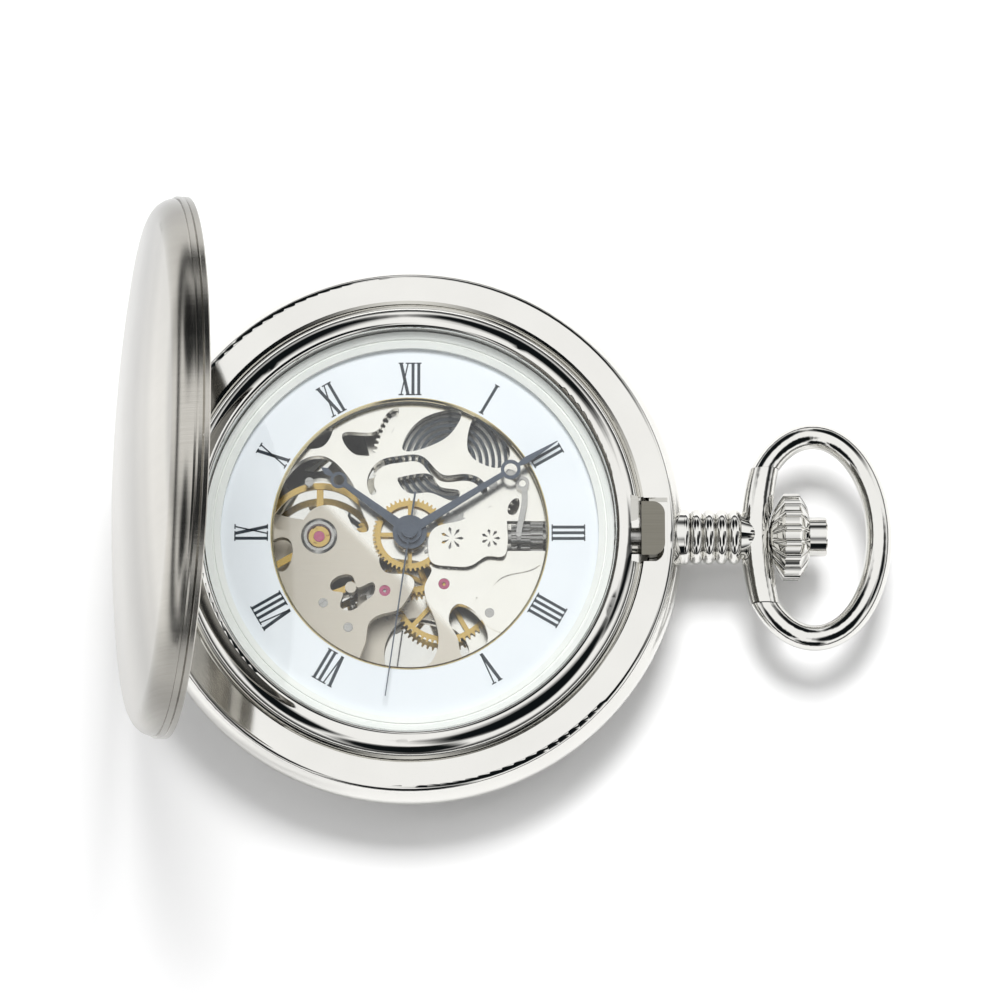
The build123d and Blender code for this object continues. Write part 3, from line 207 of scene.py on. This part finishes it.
def cover_nickel():
    """Nickel plate belt brushed to a satin: painted reflection bands and painted shade in its colour, and
    fine scratches that pull the light sideways.
    """
    made, tree, shader = material("belt_brushed_nickel_plate")
    shader.inputs["Metallic"].default_value = 1.0
    along = place(tree, (1 / (14 * MM), 1 / (0.09 * MM), 1 / (14 * MM)))
    scratch = cloud(tree, along, 1.0, 5.0, roughness=0.7)
    apart = add(tree, "ShaderNodeSeparateXYZ", {"Vector": place(tree)})
    reach = add(tree, "ShaderNodeMapRange", {
        "Value": apart.outputs["Z"], "From Min": COVER_FOOT, "From Max": COVER_TIP,
    }).outputs["Result"]
    # Painted shade: the colour darkens across the cover's width
    upper = add(tree, "ShaderNodeMapRange", {
        "Value": apart.outputs["Y"], "From Min": DARKENS_FROM, "From Max": DARKENS_TO,
        "To Min": 1.0, "To Max": DARKENS_BY,
    }).outputs["Result"]
    # Painted light: the painted reflection bands along the cover, times the painted shade across it,
    # lighten and darken the satin's colour
    bands = times(tree, tone(tree, reach, PAINTED_REFLECTION_BANDS), upper)
    metal = blended(tree, scratch, "#ABA8A1", "#CDCAC3")
    grain = between(tree, scratch, 0.15, 0.25)
    wander = between(tree, drift(tree, 9, 2.0), -0.02, 0.03)
    give(tree, shader, times(tree, metal, bands), maths(tree, "ADD", grain, wander))
    from_apex = add(tree, "ShaderNodeVectorMath", {0: place(tree), 1: APEX}, operation="DISTANCE")
    geometry = add(tree, "ShaderNodeNewGeometry")
    even = add(tree, "ShaderNodeMix", {
        "Factor": maths(tree, "LESS_THAN", from_apex.outputs["Value"], FAN_RADIUS),
        4: geometry.outputs["Normal"], 5: geometry.outputs["True Normal"],
    }, data_type="VECTOR")
    roughen(tree, shader, scratch, 0.5, 0.005, normal=even.outputs[1])
    return made


# The grained half of the movement lies past this diagonal, where x + y is less than these
GRAIN_START, GRAIN_FULL = -4.2 * MM, -5.2 * MM


def movement_nickel():
    """Nickel-plated plates: mirror bright, with the balance side straight grained and greyer."""
    made, tree, shader = material("polished_and_grained_nickel_plate")
    shader.inputs["Metallic"].default_value = 1.0
    apart = add(tree, "ShaderNodeSeparateXYZ", {"Vector": place(tree)})
    side = maths(tree, "ADD", apart.outputs["X"], apart.outputs["Y"])
    grained = add(tree, "ShaderNodeMapRange", {
        "Value": side, "From Min": GRAIN_START, "From Max": GRAIN_FULL,
    }).outputs["Result"]
    along = place(tree, (1 / (5 * MM), 1 / (0.05 * MM), 1 / (5 * MM)), (0, 0, math.radians(12)))
    scratch = cloud(tree, along, 1.0, 4.0, roughness=0.6)
    slow = drift(tree, 3, 3.0)
    colour = add(tree, "ShaderNodeMix", {
        "Factor": grained, 6: blended(tree, slow, "#EDEAE2", "#F6F4EE"),
        7: blended(tree, scratch, "#E3DACB", "#F1EBDF"),
    }, data_type="RGBA")
    gloss = add(tree, "ShaderNodeMix", {
        "Factor": grained, 2: between(tree, slow, 0.12, 0.22), 3: between(tree, scratch, 0.30, 0.45),
    }, data_type="FLOAT")
    give(tree, shader, colour.outputs[2], gloss.outputs[0])
    roughen(tree, shader, scratch, 0.12, 0.003)
    return made


def lacquered_dial():
    """Silvered brass under satin lacquer: a cool white with the faintest tooth."""
    made, tree, shader = material("satin_lacquered_dial")
    tooth = drift(tree, 0.12, 3.0)
    white = blended(tree, drift(tree, 7, 2.0), "#E4E9EF", "#EDF1F5")
    give(tree, shader, white, between(tree, tooth, 0.38, 0.5))
    roughen(tree, shader, tooth, 0.05, 0.003)
    shader.inputs["Specular IOR Level"].default_value = 0.3
    return made


def ring_lacquer():
    """Moulded and silvered ring under the glass: pale, glossy and slightly warm."""
    made, tree, shader = material("silvered_glossy_ring")
    slow = drift(tree, 2, 3.0)
    give(tree, shader, blended(tree, slow, "#E9ECE9", "#F4F5F1"), between(tree, slow, 0.16, 0.26))
    return made


def blued_paint():
    """Dark blue-grey enamel baked on steel hands: smooth, with a soft metallic glow."""
    made, tree, shader = material("baked_blue_grey_enamel")
    slow = drift(tree, 0.8, 3.0)
    give(tree, shader, blended(tree, slow, "#434B58", "#586270"), between(tree, slow, 0.28, 0.4))
    shader.inputs["Metallic"].default_value = 0.35
    return made


def dial_ink():
    """Pad-printed ink: nearly black, matt, and just proud of the lacquer."""
    made, tree, shader = material("pad_printed_ink")
    slow = drift(tree, 0.2, 3.0)
    give(tree, shader, blended(tree, slow, "#232B33", "#333C45"), between(tree, slow, 0.45, 0.6))
    return made


def watch_glass():
    """Clear mineral glass: almost unseen, but for a glint that grows where its dome leans away."""
    made = bpy.data.materials.new("mineral_glass")
    made.use_nodes = True
    tree = made.node_tree
    tree.nodes.clear()
    clear = add(tree, "ShaderNodeBsdfTransparent", {"Color": (0.985, 0.99, 0.988, 1)})
    shine = add(tree, "ShaderNodeBsdfGlossy", {"Roughness": between(tree, drift(tree, 4, 2.0), 0.01, 0.03)})
    facing = add(tree, "ShaderNodeLayerWeight", {"Blend": 0.5}).outputs["Facing"]
    glint = between(tree, maths(tree, "POWER", facing, 5.0), 0.04, 1.0)
    both = add(tree, "ShaderNodeMixShader", {"Fac": glint, 1: clear.outputs[0], 2: shine.outputs[0]})
    add(tree, "ShaderNodeOutputMaterial", {"Surface": both.outputs[0]})
    return made


def ruby():
    """Synthetic ruby, ground and polished: deep pink, wet looking."""
    made, tree, shader = material("polished_synthetic_ruby")
    slow = drift(tree, 0.4, 2.0)
    give(tree, shader, blended(tree, slow, "#8A1E4A", "#B23A6E"), between(tree, slow, 0.05, 0.12))
    shader.inputs["IOR"].default_value = 1.76
    shader.inputs["Coat Weight"].default_value = 0.6
    return made


def catch_steel():
    """Spring steel stoned flat and left grey-tan, duller than the plated pieces round it."""
    return brushed_metal("stoned_spring_steel", "#77746A", "#97948A", 0.34, 1.57, 0.12, 0.07)


def make_materials():
    """Each of the frame's material slots with its finish."""
    spring = ("oil_blackened_spring_steel", "#3F444A", "#5C6268")
    return {
        "case_polished": polished_metal("polished_nickel_plate", "#DAD9D5", "#E6E5E1", 0.03),
        "cover_satin": cover_nickel(),
        "steel": brushed_metal("ground_carbon_steel", "#A9A8A6", "#C9C8C5", 0.22, 0.4, 0.1, 0.06),
        "plate_nickel": movement_nickel(),
        "dark_steel": brushed_metal(*spring, 0.25, 1.2, 0.1, 0.06),
        "brass": brushed_metal("gilt_turned_brass", "#BB9A50", "#DDC384", 0.2, 0.9, 0.12, 0.05),
        "hand_blue": blued_paint(),
        "dial_white": lacquered_dial(),
        "ring_pale": ring_lacquer(),
        "glass": watch_glass(),
        "ruby": ruby(),
    }


def dress_frame(finishes):
    """Gives every CAD node its finish."""
    own = {
        "lid_catch": catch_steel(),
        "aperture_ring": polished_metal("polished_pale_gilt", "#CFBF92", "#E5D9B4", 0.12),
    }
    for name, thing in frame["nodes"].items():
        finish = own.get(name, finishes[SLOT_OF[name]])
        for slot in thing.material_slots:
            slot.material = finish


# Dial printing

NUMERAL_FOOT = 12.5 * MM
NUMERAL_HIGH = 2.85 * MM
STROKE = 0.26 * MM
HAIRLINE = 0.11 * MM
SERIF_HALF = 0.24 * MM
STROKE_PITCH = 0.51 * MM
LETTER_WIDE = 0.98 * MM
INK_THICK = 0.02 * MM
INK_START = 0.002 * MM
LETTER_MARGIN = 0.18 * MM
DIAGONAL = 1.1
SERIF_SHARE = 0.9
V_LEAN = 0.03 * MM
NUMERALS = {
    1: "I", 2: "II", 3: "III", 4: "IIII", 5: "V", 7: "VII",
    8: "VIII", 9: "IX", 10: "X", 11: "XI", 12: "XII",
}


def slab(mesh, corners, turn):
    """One flat printed stroke, closed all round."""
    rings = []
    for z in (DIAL_TOP + INK_START, DIAL_TOP + INK_THICK):
        rings.append([mesh.verts.new(turn @ Vector((x, y, z))) for x, y in corners])
    low, high = rings
    mesh.faces.new(reversed(low))
    mesh.faces.new(high)
    for i in range(len(corners)):
        j = (i + 1) % len(corners)
        mesh.faces.new((low[i], low[j], high[j], high[i]))


def stroke(mesh, turn, foot, head, width):
    """A straight stroke between a point on the base line and one at the top."""
    y0, y1 = NUMERAL_FOOT, NUMERAL_FOOT + NUMERAL_HIGH
    half = width / 2
    slab(mesh, [(foot - half, y0), (foot + half, y0), (head + half, y1), (head - half, y1)], turn)


def serif(mesh, turn, x, y, half):
    """A thin cross stroke at the end of a letter's stem."""
    slab(mesh, [(x - half, y), (x + half, y), (x + half, y + HAIRLINE), (x - half, y + HAIRLINE)], turn)


def letter(mesh, turn, kind, left):
    """Draws one letter from its left edge and returns its width."""
    base, top = NUMERAL_FOOT - HAIRLINE / 2, NUMERAL_FOOT + NUMERAL_HIGH - HAIRLINE / 2
    if kind == "I":
        middle = left + STROKE_PITCH / 2
        stroke(mesh, turn, middle, middle, STROKE)
        for y in (base, top):
            serif(mesh, turn, middle, y, SERIF_HALF)
        return STROKE_PITCH
    near, far = left + LETTER_MARGIN, left + LETTER_WIDE - LETTER_MARGIN
    if kind == "V":
        middle = (near + far) / 2
        stroke(mesh, turn, middle, near, STROKE * DIAGONAL)
        stroke(mesh, turn, middle + V_LEAN, far, HAIRLINE * DIAGONAL)
        feet = []
    else:
        stroke(mesh, turn, far, near, STROKE * DIAGONAL)
        stroke(mesh, turn, near, far, HAIRLINE * DIAGONAL)
        feet = [near, far]
    for x in feet:
        serif(mesh, turn, x, base, SERIF_HALF * SERIF_SHARE)
    for x in (near, far):
        serif(mesh, turn, x, top, SERIF_HALF * SERIF_SHARE)
    return LETTER_WIDE


def letter_width(kind):
    """How far one letter moves the next one along."""
    return STROKE_PITCH if kind == "I" else LETTER_WIDE


def make_numerals(ink):
    """The hours round the dial, feet to the centre."""
    for hour, text in NUMERALS.items():
        mesh = bmesh.new()
        turn = Matrix.Rotation(math.radians(-30 * hour), 4, "Z")
        left = -sum(letter_width(k) for k in text) / 2
        for kind in text:
            left += letter(mesh, turn, kind, left)
        data = bpy.data.meshes.new(f"numeral_{hour}")
        mesh.to_mesh(data)
        mesh.free()
        piece = bpy.data.objects.new(f"numeral_{hour}", data)
        bpy.context.scene.collection.objects.link(piece)
        data.materials.append(ink)
        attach(piece, "case")


# Stage

FLOOR_WIDE = 3.0


def make_floor():
    """A wide sheet of white paper under the watch."""
    bpy.ops.mesh.primitive_plane_add(size=FLOOR_WIDE, location=(0, 0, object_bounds()[0].z))
    floor = bpy.context.object
    floor.name = "floor"
    made, tree, shader = material("matt_white_paper")
    shader.inputs["Base Color"].default_value = tint("#FAFAFA")
    shader.inputs["Roughness"].default_value = 0.9
    shader.inputs["Specular IOR Level"].default_value = 0.1
    floor.data.materials.append(made)


# Black cards hung in the tent: bearing and height in degrees, and half their width
BLACK_CARDS = {
    "lower right": (-45, 56, 23),
    "right": (2, 36, 15),
    "upper right": (64, 38, 20),
    "upper left": (122, 38, 21),
    "lower left": (-138, 42, 17),
    "front": (-95, 24, 17),
}
CARD_SOFTNESS = 6
FOOT_TOP = (0.10, 0.34)
FOOT_DARK = 0.94
TENT_STRENGTH = 1.15
TENT_FOLDS = 0.05
SOFT_BOX_WATTS = 4.2
SOFT_BOX_AT = (0.03, 0.33, 0.60)
SOFT_BOX_WIDE = 0.26


def soft_box():
    """A square lamp aimed at the watch. Polished pieces don't mirror it."""
    data = bpy.data.lights.new("soft_box", "AREA")
    data.shape = "SQUARE"
    data.size = SOFT_BOX_WIDE
    data.energy = SOFT_BOX_WATTS
    lamp = bpy.data.objects.new("soft_box", data)
    lamp.location = SOFT_BOX_AT
    lamp.rotation_mode = "QUATERNION"
    lamp.rotation_quaternion = (-Vector(SOFT_BOX_AT)).to_track_quat("-Z", "Y")
    lamp.visible_glossy = False
    bpy.context.scene.collection.objects.link(lamp)


def step_down(tree, value, start, end):
    """1 below start, 0 above end, and a soft step between."""
    step = add(tree, "ShaderNodeMapRange", {
        "Value": value, "From Min": start, "From Max": end, "To Min": 1.0, "To Max": 0.0,
    }, interpolation_type="SMOOTHSTEP")
    return step.outputs["Result"]


def heading(bearing, height):
    """A direction from its bearing round the table and its height above it, in degrees."""
    turn, lift = math.radians(bearing), math.radians(height)
    return (math.cos(turn) * math.cos(lift), math.sin(turn) * math.cos(lift), math.sin(lift))


def make_light():
    """A white tent with black cards and a dark foot, and a soft box behind that lays the shadow forward."""
    world = bpy.data.worlds.new("tent")
    bpy.context.scene.world = world
    world.use_nodes = True
    tree = world.node_tree
    tree.nodes.clear()
    coords = add(tree, "ShaderNodeTexCoord")
    folds = cloud(tree, coords.outputs["Generated"], 3.0, 2.0)
    wave = between(tree, folds, -TENT_FOLDS, TENT_FOLDS)
    apart = add(tree, "ShaderNodeSeparateXYZ", {"Vector": coords.outputs["Generated"]})
    foot = step_down(tree, maths(tree, "ADD", apart.outputs["Z"], wave), *FOOT_TOP)
    dark = maths(tree, "MULTIPLY", foot, FOOT_DARK)
    for bearing, height, half in BLACK_CARDS.values():
        facing = add(tree, "ShaderNodeVectorMath", {
            0: coords.outputs["Generated"], 1: heading(bearing, height),
        }, operation="DOT_PRODUCT").outputs["Value"]
        outer = math.cos(math.radians(half + CARD_SOFTNESS))
        inner = math.cos(math.radians(half - CARD_SOFTNESS))
        away = step_down(tree, maths(tree, "ADD", facing, wave), outer, inner)
        dark = maths(tree, "MAXIMUM", dark, maths(tree, "SUBTRACT", 1.0, away))
    light = add(tree, "ShaderNodeBackground", {
        "Color": blended(tree, dark, "#FFFFFF", "#101416"), "Strength": TENT_STRENGTH,
    })
    add(tree, "ShaderNodeOutputWorld", {"Surface": light.outputs["Background"]})
    soft_box()


LENS = 205.1
AIM = (7.92 * MM, 2.77 * MM, 8.0 * MM)
LIFT = 77.1
DISTANCE = 0.5


def make_camera():
    """Looks down from the six o'clock side, through a long lens."""
    data = bpy.data.cameras.new("camera")
    data.lens = LENS
    data.clip_start = 0.01
    camera = bpy.data.objects.new("camera", data)
    lift = math.radians(LIFT)
    camera.location = Vector(AIM) + Vector((0, -math.cos(lift), math.sin(lift))) * DISTANCE
    camera.rotation_euler = (math.pi / 2 - lift, 0, 0)
    bpy.context.scene.collection.objects.link(camera)
    bpy.context.scene.camera = camera


make_camera()
make_light()
finishes = make_materials()
dress_frame(finishes)
make_numerals(dial_ink())
make_floor()
bpy.context.scene.view_settings.view_transform = "Standard"
